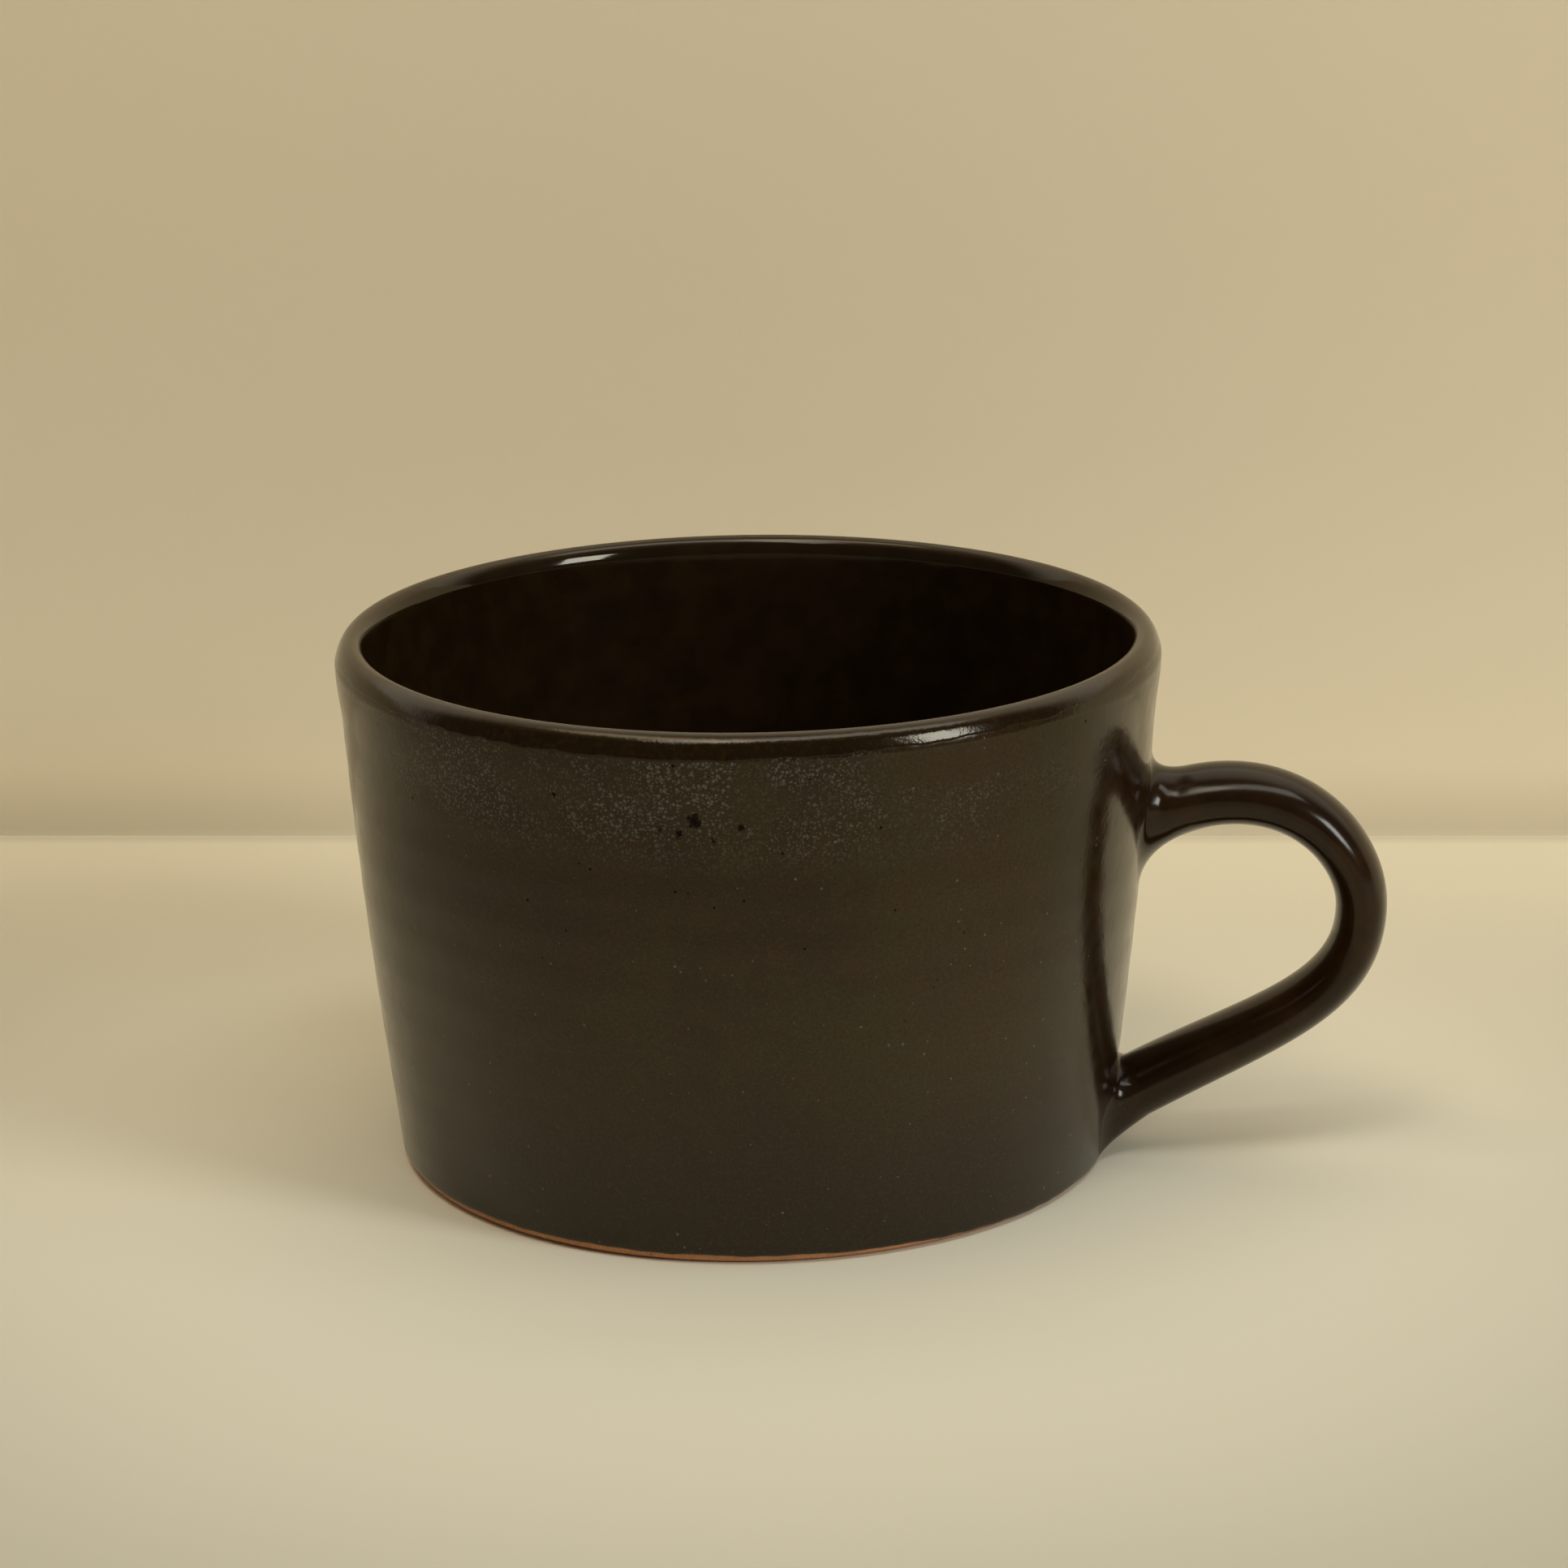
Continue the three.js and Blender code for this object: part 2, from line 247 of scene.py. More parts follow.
outline = rim_outline()
outline_length = np.concatenate([[0], np.cumsum(np.hypot(*np.diff(outline, axis=0).T))])
outline_length -= outline_length[WALL_ROWS - 1]
outline_tangent = np.gradient(outline, outline_length, axis=0)
outline_tangent /= np.linalg.norm(outline_tangent, axis=1, keepdims=True)
rising = outline[:WALL_ROWS + BEND_ROWS - 1]
RIM_END = outline_length[-1]


def rim_point(length, coat):
    """A point over the rim, at a length that is 0 where the round starts and grows towards the inside."""
    x, z = (np.interp(length, outline_length, outline[:, k]) for k in (0, 1))
    along_x, along_z = (np.interp(length, outline_length, outline_tangent[:, k]) for k in (0, 1))
    return x + coat * along_z, z - coat * along_x


# The wall's glaze dips under the lap over a short run
DIP_DEPTH = 0.035
DIP_START = ROUND_START - 1.5
DIP_END = ROUND_START - 0.5


def under_lap(z):
    """Radius of the wall's glaze, which goes on under the lap."""
    depth = DIP_DEPTH * smooth(DIP_START, DIP_END, z)
    return np.minimum(wall_surface(z, ANGLES), np.interp(z, rising[:, 1], rising[:, 0]) - depth)


# How far the liner glaze laps down from the top of the rim, at angles from the front
lap_drop = np.interp(
    FROM_FRONT,
    [-180, -120, -64, -40, -8, 4, 14, 32, 60, 120, 180],
    [1.9, 2.1, 2.1, 2.7, 2.9, 2.55, 2.35, 2.05, 1.7, 1.6, 1.9],
)
lap_drop = lap_drop + 0.07 * ripple(3, 20, 45) + 0.06 * ripple(4, 50, 110)
lap_edge = np.interp(HEIGHT - lap_drop, rising[:, 1], outline_length[:len(rising)])
lap_thickness = rim_point(lap_edge, 0)[0] - under_lap(HEIGHT - lap_drop)
WALL_GLAZE_TOP = HEIGHT - 0.6

# Height where the wall's glaze ends over the bare foot
glaze_line = np.interp(
    FROM_FRONT,
    [-180, -100, -60, 0, 25, 45, 95, 180],
    [1.0, 1.0, 1.1, 1.05, 0.8, 0.45, 0.45, 1.0],
)
glaze_line = glaze_line + 0.03 * ripple(7, 12, 30) + 0.025 * ripple(8, 40, 100)


# Round lower edge of that glaze: height over its line, and how far it stands out from the wall
GLAZE_EDGE = ((0.0, -GLAZE), (-0.03, -0.28), (0.0, -0.14), (0.12, -0.02), (0.35, 0.03), (0.8, 0.03))
EDGE_HEIGHT = 1.6


def make_outer_glaze():
    """The wall's coat: from its lower edge up the outside, under the lap, and down against the clay."""
    rings = []
    for rise, coat in GLAZE_EDGE:
        z = glaze_line + rise
        rings.append(around(wall_radius(z) + coat, z))
    first = glaze_line + EDGE_HEIGHT
    last = DIP_START
    for share in np.linspace(0, 1, 64):
        z = first + (last - first) * share
        rings.append(around(wall_surface(z, ANGLES), z))
    for z in np.linspace(last, WALL_GLAZE_TOP, 16)[1:]:
        rings.append(around(under_lap(z), z))
    for z in np.linspace(WALL_GLAZE_TOP, last, 8):
        rings.append(around(under_lap(z) - GLAZE * smooth(WALL_GLAZE_TOP + 0.4, last, z), z))
    for share in np.linspace(0, 1, 6)[1:-1]:
        z = last + (glaze_line - last) * share
        rings.append(around(wall_radius(z) - GLAZE, z))
    faces = ring_faces(len(rings), TURNS, True).tolist()
    return shown("outer_glaze_coat", np.concatenate(rings), faces, "outer_glaze", "outer_glaze")


corner_x = inner_foot - FLOOR_CORNER * (1 - math.sin(inner_lean)) / math.cos(inner_lean)
corner_z = FLOOR + FLOOR_CORNER


def inside_rings(coat, rows_wall, rows_corner, rows_floor, marks):
    """Rings of the inside: down the wall, round the corner and over the floor, with the potter's marks."""
    rings = []
    rim_x = RIM_CENTRE - (RIM_WALL / 2 + coat) * math.cos(inner_lean)
    rim_z = LIP_HEIGHT + (RIM_WALL / 2 + coat) * math.sin(inner_lean)
    low_x = corner_x + (FLOOR_CORNER - coat) * math.cos(inner_lean)
    low_z = corner_z - (FLOOR_CORNER - coat) * math.sin(inner_lean)
    turn = ANGLES / TAU
    for share in np.linspace(0, 1, rows_wall)[1:]:
        x = rim_x + (low_x - rim_x) * share
        z = rim_z + (low_z - rim_z) * share
        swell = 0.05 * np.sin(TAU * (z / 5.3 - turn)) + 0.03 * np.sin(3 * ANGLES + 0.1 * z)
        rings.append(around(x + marks * swell * math.sin(math.pi * share), z))
    for angle in np.linspace(-inner_lean, -math.pi / 2, rows_corner)[1:]:
        x = corner_x + (FLOOR_CORNER - coat) * math.cos(angle)
        z = corner_z + (FLOOR_CORNER - coat) * math.sin(angle)
        rings.append(around(x, z))
    for share in np.linspace(0, 1, rows_floor)[1:-1]:
        x = corner_x * (1 - share)
        spiral = 0.09 * np.sin(TAU * (x / 4.6 + turn)) * smooth(0, 0.2, share) * (1 - smooth(0.75, 1, share))
        rings.append(around(x, FLOOR + coat + marks * spiral))
    return rings


def fan(row, centre, columns):
    """Triangles from one ring to a point at its centre."""
    return [(row + i, row + (i + 1) % columns, centre) for i in range(columns)]


def make_liner_glaze():
    """The liner's coat: its thin lap, the rim, the inside, and its back against the clay."""
    rings = []
    taper = 0.2 + 4 * lap_thickness
    rings.append(around(*rim_point(lap_edge + 0.12, -lap_thickness * 1.2)))
    for share in (0.0, 0.08, 0.2, 0.35, 0.5, 0.7, 1.0):
        rings.append(around(*rim_point(lap_edge + taper * share, -lap_thickness * (1 - share) ** 2)))
    for share in np.linspace(0, 1, 36)[1:]:
        rings.append(around(*rim_point(lap_edge + taper + (RIM_END - lap_edge - taper) * share, 0)))
    rings += inside_rings(GLAZE, 36, 14, 16, 1)
    under = []
    for length in np.linspace(0, 1, 5)[1:]:
        radius, z = rim_point(lap_edge + 0.2 + (2.6 - lap_edge) * length, -lap_thickness * 1.2)
        under.append(around(radius, z))
    for length in np.linspace(3, RIM_END, 10):
        radius, z = rim_point(np.full(TURNS, length), -GLAZE)
        under.append(around(radius, z))
    under += inside_rings(0, 10, 8, 5, 0)
    rows = rings[::-1] + under
    points = np.concatenate(rows + [np.array([[0, 0, FLOOR + GLAZE], [0, 0, FLOOR]])])
    faces = ring_faces(len(rows), TURNS, False)[:, ::-1].tolist()
    top = len(rows) * TURNS
    faces += fan(0, top, TURNS)
    faces += [face[::-1] for face in fan(top - TURNS, top + 1, TURNS)]
    return shown("liner_glaze_coat", points, faces, "liner_glaze", "liner_glaze")


def make_cup_clay():
    """The clay: turning marks on the flat underside, a rounded foot edge, and the wall under the glazes."""
    rings = []
    turn = ANGLES / TAU
    clay_foot = wall_radius(FOOT_EDGE) - GLAZE - FOOT_EDGE
    for x in np.linspace(clay_foot, 1.2, 84):
        mark = 0.5 + 0.5 * np.cos(TAU * (x / 2.9 + turn))
        chatter = 0.5 + 0.5 * np.cos(TAU * (x / 0.97 - turn))
        depth = (0.09 * mark + 0.03 * chatter) * smooth(clay_foot - 1, clay_foot - 3.5, x)
        rings.append(around(x, depth))
    rings.reverse()
    for angle in np.linspace(-math.pi / 2, 0, 9)[1:]:
        rings.append(around(clay_foot + FOOT_EDGE * math.cos(angle), FOOT_EDGE * (1 + math.sin(angle))))
    for z in np.linspace(FOOT_EDGE + 0.2, ROUND_START - 0.4, 12):
        rings.append(around(wall_radius(z) - GLAZE - 0.01, z))
    for length in np.linspace(0.5, RIM_END, 14):
        radius, z = rim_point(np.full(TURNS, length), -GLAZE - 0.02)
        rings.append(around(radius, z))
    rings += inside_rings(-0.02, 10, 8, 5, 0)
    points = np.concatenate(rings + [np.array([[0, 0, 0.05], [0, 0, FLOOR - 0.02]])])
    faces = ring_faces(len(rings), TURNS, False).tolist()
    top = len(rings) * TURNS
    faces += [face[::-1] for face in fan(0, top, TURNS)]
    faces += fan(top - TURNS, top + 1, TURNS)
    return shown("cup_clay", points, faces, "bare_clay", "cup_body")


# Centre line of the handle: rise to the crest, bend to the outermost point, leg to the wall
upper_seat = HEIGHT - UPPER_DROP
lower_seat = LOWER_CLEARANCE + END_THICKNESS / 2 / math.cos(LOWER_ANGLE)
upper_wall = wall_radius(upper_seat)
lower_wall = wall_radius(lower_seat)
crest_x = upper_wall + CREST_REACH
crest_z = upper_seat + CREST_RISE
outer_x = upper_wall + HANDLE_REACH
outer_z = lower_seat + BEND_SHARE * (upper_seat - lower_seat)
rise_pull = RISE_PULL * CREST_REACH
leg_pull = LEG_PULL * (outer_x - lower_wall)
HANDLE_CURVES = (
    (
        (upper_wall, upper_seat),
        (upper_wall + rise_pull * math.cos(UPPER_ANGLE), upper_seat + rise_pull * math.sin(UPPER_ANGLE)),
        (crest_x - rise_pull, crest_z),
        (crest_x, crest_z),
    ),
    (
        (crest_x, crest_z),
        (crest_x + SHOULDER_PULL * (outer_x - crest_x), crest_z),
        (outer_x, outer_z + DROP_PULL * (crest_z - outer_z)),
        (outer_x, outer_z),
    ),
    (
        (outer_x, outer_z),
        (outer_x, outer_z - ELBOW_PULL * (outer_z - lower_seat)),
        (lower_wall + leg_pull * math.cos(LOWER_ANGLE), lower_seat + leg_pull * math.sin(LOWER_ANGLE)),
        (lower_wall, lower_seat),
    ),
)


def bezier(points, t):
    points = np.array(points)
    t = t[:, None]
    weights = ((1 - t) ** 3, 3 * (1 - t) ** 2 * t, 3 * (1 - t) * t**2, t**3)
    return sum(weight * point for weight, point in zip(weights, points))


steps = np.linspace(0, 1, 400)
line = np.concatenate([bezier(curve, steps)[min(1, i):] for i, curve in enumerate(HANDLE_CURVES)])
lengths = np.concatenate([[0], np.cumsum(np.hypot(*np.diff(line, axis=0).T))])
HANDLE_LENGTH = lengths[-1]
tangents = np.gradient(line, lengths, axis=0)


def skin_point(u, turn, coat):
    """A point of the handle's skin: u runs along the centre line and on past its ends, turn goes round it."""
    inside = np.clip(u, 0, 1)
    at = inside * HANDLE_LENGTH
    tangent = np.stack([np.interp(at, lengths, tangents[:, k]) for k in (0, 1)], -1)
    tangent /= np.linalg.norm(tangent, axis=-1, keepdims=True)
    point = np.stack([np.interp(at, lengths, line[:, k]) for k in (0, 1)], -1)
    point = point + tangent * ((u - inside) * HANDLE_LENGTH)[..., None]
    thickness = END_THICKNESS + (BEND_THICKNESS - END_THICKNESS) * np.sin(math.pi * inside) ** 2
    lift = (thickness / 2 + coat) * np.cos(turn)
    x = point[..., 0] - tangent[..., 1] * lift
    z = point[..., 1] + tangent[..., 0] * lift
    return np.stack([x, (HANDLE_WIDTH / 2 + coat) * np.sin(turn), z], -1)


HANDLE_SIDES = 96
SIDE_TURNS = np.arange(HANDLE_SIDES) * TAU / HANDLE_SIDES
SEARCH_SPAN = 0.15
SEARCH_STEPS = 40


def wall_meeting(coat, radius_at, seat):
    """Where each line of the skin meets the wall, searched from the free side inwards."""
    inwards = -1 if seat == 0 else 1
    free = np.full(HANDLE_SIDES, seat - inwards * SEARCH_SPAN)
    buried = np.full(HANDLE_SIDES, seat + inwards * SEARCH_SPAN)
    for _ in range(SEARCH_STEPS):
        middle = (free + buried) / 2
        point = skin_point(middle, SIDE_TURNS, coat)
        wall = radius_at(point[:, 2], np.arctan2(point[:, 1], point[:, 0]))
        outside = np.hypot(point[:, 0], point[:, 1]) > wall
        free = np.where(outside, middle, free)
        buried = np.where(outside, buried, middle)
    return free


def by_side(size, above_is_outward):
    """A size that is given above, below and to the sides, at each turn of the section."""
    cosine = np.cos(SIDE_TURNS) * (1 if above_is_outward else -1)
    above, below, side = size
    return np.where(cosine > 0, above, below) * cosine**2 + side * np.sin(SIDE_TURNS) ** 2


# The joins: spread on the wall, run along the handle and fullness, each above, below and to the sides
UPPER_END = dict(
    seat=0,
    height=upper_seat,
    up=True,
    spread=(3, 5.7, 3),
    run=(5, 9.5, 4.2),
    full=(0, 0, 0),
    ridge=0.05,
)
LOWER_END = dict(
    seat=1,
    height=lower_seat,
    up=False,
    spread=(0.4, 5, 3.5),
    run=(1, 6.5, 4.5),
    full=(0, 1, 0.3),
    ridge=0.0,
)

# The joins' skin dips under the wall's at its edge, so that no step shows, and has ridges left by fingers
SEAM_DEPTH = 0.006
SUNK_SHARE = 1 - 0.4 / 46
RIDGES = 2.6


def fillet_rings(coat, radius_at, lowest, end, rows):
    """Rings of a fillet from the handle's skin to the wall, and where they start along the handle."""
    meeting = wall_meeting(coat, radius_at, end["seat"])
    away = 1 if end["seat"] == 0 else -1
    start = meeting + away * by_side(end["run"], end["up"]) / HANDLE_LENGTH
    first = skin_point(start, SIDE_TURNS, coat)
    corner = skin_point(meeting, SIDE_TURNS, coat)
    angle = np.arctan2(corner[:, 1], corner[:, 0])
    radius = np.hypot(corner[:, 0], corner[:, 1])
    on_wall = np.stack([angle * radius, corner[:, 2] - end["height"]], -1)
    reach = np.linalg.norm(on_wall, axis=1)
    spread = on_wall * ((reach + coat + by_side(end["spread"], end["up"])) / reach)[:, None]
    foot_z = np.maximum(lowest, end["height"] + spread[:, 1])
    foot_angle = spread[:, 0] / radius
    foot_radius = radius_at(foot_z, foot_angle) - SEAM_DEPTH
    last = np.stack([foot_radius * np.cos(foot_angle), foot_radius * np.sin(foot_angle), foot_z], -1)
    full = by_side(end["full"], end["up"])[:, None]
    pull = corner * (1 - full) + (first + last) / 2 * full
    rings = []
    for t in np.linspace(0, 1, rows):
        ring = (1 - t) ** 2 * first + 2 * t * (1 - t) * pull + t**2 * last
        ridge = end["ridge"] * np.sin(TAU * RIDGES * t) * smooth(0.05, 0.3, t) * (1 - smooth(0.7, 0.92, t))
        ring[:, 1] += ridge * np.sin(SIDE_TURNS) * np.abs(np.sin(SIDE_TURNS))
        least = radius_at(ring[:, 2], np.arctan2(ring[:, 1], ring[:, 0])) - SEAM_DEPTH
        flat = np.hypot(ring[:, 0], ring[:, 1])
        grown = np.maximum(flat, least) / flat
        rings.append(ring * np.stack([grown, grown, np.ones_like(grown)], -1))
    rings.append(last * np.array([SUNK_SHARE, SUNK_SHARE, 1]))
    return start, rings


def under_glaze(z, angle):
    return wall_surface(z, angle) - GLAZE


# Lowest height of the handle's glaze, and how far its back lies over the skin of the clay
JOIN_LOWEST = 0.75
COAT_BACK = 0.2


def handle_rings(coat, radius_at, join_rows, rows):
    """Rings of the handle's skin, from the edge of the upper join to the edge of the lower one."""
    start, upper = fillet_rings(coat, radius_at, JOIN_LOWEST, UPPER_END, join_rows)
    stop, lower = fillet_rings(coat, radius_at, JOIN_LOWEST, LOWER_END, join_rows)
    shares = np.linspace(0, 1, rows)[1:-1]
    middle = [skin_point(start + (stop - start) * share, SIDE_TURNS, coat) for share in shares]
    return upper[::-1] + middle + lower


def make_handle_glaze():
    """The coat of the handle and its joins, and its back against the clay."""
    rings = handle_rings(HANDLE_GLAZE, wall_surface, 40, 150)
    rings += handle_rings(COAT_BACK, under_glaze, 6, 60)[-2:0:-1]
    faces = ring_faces(len(rings), HANDLE_SIDES, True)[:, ::-1].tolist()
    return shown("handle_glaze_coat", np.concatenate(rings), faces, "handle_glaze", "handle_glaze")


# Materials
def new_material(name):
    material = bpy.data.materials.new(name)
    material.use_nodes = True
    tree = material.node_tree
    return material, tree, tree.nodes["Principled BSDF"]


def add(tree, kind, values, **settings):
    node = tree.nodes.new(kind)
    for key, value in settings.items():
        setattr(node, key, value)
    for key, value in values.items():
        if isinstance(value, bpy.types.NodeSocket):
            tree.links.new(value, node.inputs[key])
        else:
            node.inputs[key].default_value = value
    return node


def place_of(tree):
    return add(tree, "ShaderNodeTexCoord", {}).outputs["Object"]


def noise(tree, at, scale, detail=3, rough=0.5):
    values = {"Vector": at, "Scale": scale, "Detail": detail, "Roughness": rough}
    return add(tree, "ShaderNodeTexNoise", values).outputs[0]


def calc(tree, operation, first, second=0.0, third=0.0):
    return add(tree, "ShaderNodeMath", {0: first, 1: second, 2: third}, operation=operation).outputs[0]


def ramp(tree, value, low, high, to_low=0.0, to_high=1.0):
    values = {"Value": value, "From Min": low, "From Max": high, "To Min": to_low, "To Max": to_high}
    return add(tree, "ShaderNodeMapRange", values, interpolation_type="SMOOTHSTEP").outputs[0]


def blend(tree, share, first, second):
    values = {0: share, 6: first, 7: second}
    return add(tree, "ShaderNodeMix", values, data_type="RGBA").outputs[2]


def srgb(red, green, blue):
    def linear(value):
        value = value / 255
        return value / 12.92 if value <= 0.04045 else ((value + 0.055) / 1.055) ** 2.4

    return (linear(red), linear(green), linear(blue), 1)


def bump(tree, height, strength, distance):
    values = {"Height": height, "Strength": strength, "Distance": distance}
    return add(tree, "ShaderNodeBump", values).outputs[0]


# Share of a spot's radius within which it is full
SPOT_CORE = 0.55


def spots(tree, at, scale, least, most, share):
    """Round spots in a share of the cells of a random grid: 1 inside a spot and 0 outside it."""
    cells = add(tree, "ShaderNodeTexVoronoi", {"Vector": at, "Scale": scale})
    chance = add(tree, "ShaderNodeSeparateColor", {0: cells.outputs["Color"]})
    size = calc(tree, "MULTIPLY_ADD", chance.outputs[0], most - least, least)
    inside = ramp(tree, cells.outputs["Distance"], calc(tree, "MULTIPLY", size, SPOT_CORE), size, 1.0, 0.0)
    return calc(tree, "MULTIPLY", inside, calc(tree, "LESS_THAN", chance.outputs[1], share))


def dot(tree, at, direction):
    node = add(tree, "ShaderNodeVectorMath", {0: at, 1: direction}, operation="DOT_PRODUCT")
    return node.outputs["Value"]


def from_axis(tree, at):
    flat = add(tree, "ShaderNodeVectorMath", {0: at, 1: (1, 1, 0)}, operation="MULTIPLY").outputs[0]
    return add(tree, "ShaderNodeVectorMath", {0: flat}, operation="LENGTH").outputs["Value"]


def height_of(tree, at):
    return dot(tree, at, (0, 0, 1))


# Unevenness of a patch, and where it starts to fade and ends, in shares of its radius
PATCH_WOBBLE = 2.8
PATCH_CORE = 0.3
PATCH_EDGE = 1.25


def patch(tree, at, middle, radius, wobble):
    """1 within an uneven round patch about a place and 0 outside it."""
    away = add(tree, "ShaderNodeVectorMath", {0: at, 1: [v * MM for v in middle]}, operation="DISTANCE")
    uneven = calc(tree, "MULTIPLY", calc(tree, "SUBTRACT", wobble, 0.5), PATCH_WOBBLE * radius * MM)
    away = calc(tree, "ADD", away.outputs["Value"], uneven)
    return ramp(tree, away, PATCH_CORE * radius * MM, PATCH_EDGE * radius * MM, 1.0, 0.0)


def on_wall(degrees_from_front, z):
    """A place on the wall's face."""
    angle = FRONT + math.radians(degrees_from_front)
    radius = wall_radius(z)
    return radius * math.cos(angle), radius * math.sin(angle), z


# Colours of the clay, the wall's glaze, the handle's and the liner's
CLAY_DEEP = srgb(190, 130, 88)
CLAY_PALE = srgb(214, 158, 112)
CLAY_GRAIN = srgb(160, 104, 68)
CLAY_GRIT = srgb(70, 44, 30)
OLIVE = srgb(39, 31, 9)
BROWN = srgb(34, 19, 6)
AMBER_BROWN = srgb(54, 36, 12)
RUST = srgb(50, 28, 9)
FOOT_BROWN = srgb(28, 16, 10)
PALE_OLIVE = srgb(66, 54, 30)
NEAR_BLACK = srgb(8, 5, 2)
CRYSTAL = srgb(108, 104, 97)
HANDLE_BROWN = srgb(46, 28, 10)
HANDLE_DEEP = srgb(34, 20, 7)
HANDLE_MOTTLE = srgb(42, 22, 9)
LINER_BROWN = srgb(38, 25, 9)
LINER_DEEP = srgb(29, 18, 6)
LAP_DARK = srgb(20, 12, 2)
LAP_AMBER = srgb(48, 28, 4)
CROWN_TAN = srgb(56, 42, 24)

# Tints of the gloss, and how strongly each glaze bends light
WALL_GLOSS = (1, 0.93, 0.75, 1)
HANDLE_GLOSS = (1, 0.93, 0.8, 1)
LINER_GLOSS = (1, 0.88, 0.66, 1)
GLAZE_IOR = 1.46
HANDLE_IOR = 1.38

# Distance from the axis at which the lap starts
LAP_RADIUS = 0.0474


def make_clay_material():
    material, tree, shader = new_material("bare_clay")
    at = place_of(tree)
    tone = blend(tree, noise(tree, at, 160, 4), CLAY_DEEP, CLAY_PALE)
    grain = noise(tree, at, 2600, 3, 0.7)
    tone = blend(tree, ramp(tree, grain, 0.35, 0.7, 0.0, 0.5), tone, CLAY_GRAIN)
    tone = blend(tree, spots(tree, at, 700, 0.08, 0.2, 0.3), tone, CLAY_GRIT)
    tree.links.new(tone, shader.inputs["Base Color"])
    shader.inputs["Roughness"].default_value = 0.85
    tree.links.new(bump(tree, grain, 0.4, 0.0001), shader.inputs["Normal"])
    return material


# Directions along which a place on the wall is about 1 in front and 1 at the right
WALL_REACH = 0.049
FRONT_DIRECTION = (math.cos(FRONT) / WALL_REACH, math.sin(FRONT) / WALL_REACH, 0)
RIGHT_DIRECTION = (-math.sin(FRONT) / WALL_REACH, math.cos(FRONT) / WALL_REACH, 0)


def wall_tone(tree, at):
    """Colour of the satin glaze: olive and brown clouds, darker towards the foot, with a fine grain."""
    z = height_of(tree, at)
    clouds = ramp(tree, noise(tree, at, 75, 4, 0.55), 0.36, 0.64)
    tone = blend(tree, clouds, OLIVE, BROWN)
    flecks = ramp(tree, noise(tree, at, 240, 4, 0.6), 0.46, 0.66, 0.0, 0.6)
    tone = blend(tree, flecks, tone, RUST)
    right = dot(tree, at, RIGHT_DIRECTION)
    warm = ramp(tree, right, 0.1, 0.5, 0.0, 0.5)
    warm = calc(tree, "MULTIPLY", warm, ramp(tree, right, 0.6, 0.76, 1.0, 0.0))
    tone = blend(tree, warm, tone, AMBER_BROWN)
    mottle = ramp(tree, noise(tree, at, 620, 4, 0.65), 0.5, 0.72, 0.0, 0.55)
    tone = blend(tree, mottle, tone, RUST)
    low = ramp(tree, z, 0.002, 0.03, 0.85, 0.0)
    tone = blend(tree, low, tone, FOOT_BROWN)
    grain = noise(tree, at, 2900, 2, 0.7)
    tone = blend(tree, ramp(tree, grain, 0.5, 0.78, 0.0, 0.5), tone, PALE_OLIVE)
    return blend(tree, ramp(tree, grain, 0.5, 0.24, 0.0, 0.7), tone, NEAR_BLACK)


# Dark iron spots on the wall: degrees from the front, height and radius in millimetres
IRON_SPOTS = (
    (-7.3, 55.4, 0.95),
    (-9.4, 53.8, 0.6),
    (-4.9, 53.0, 0.45),
    (-1.2, 54.6, 0.5),
    (-26.6, 57.4, 0.4),
    (-12.0, 54.2, 0.4),
    (4.0, 51.5, 0.35),
)


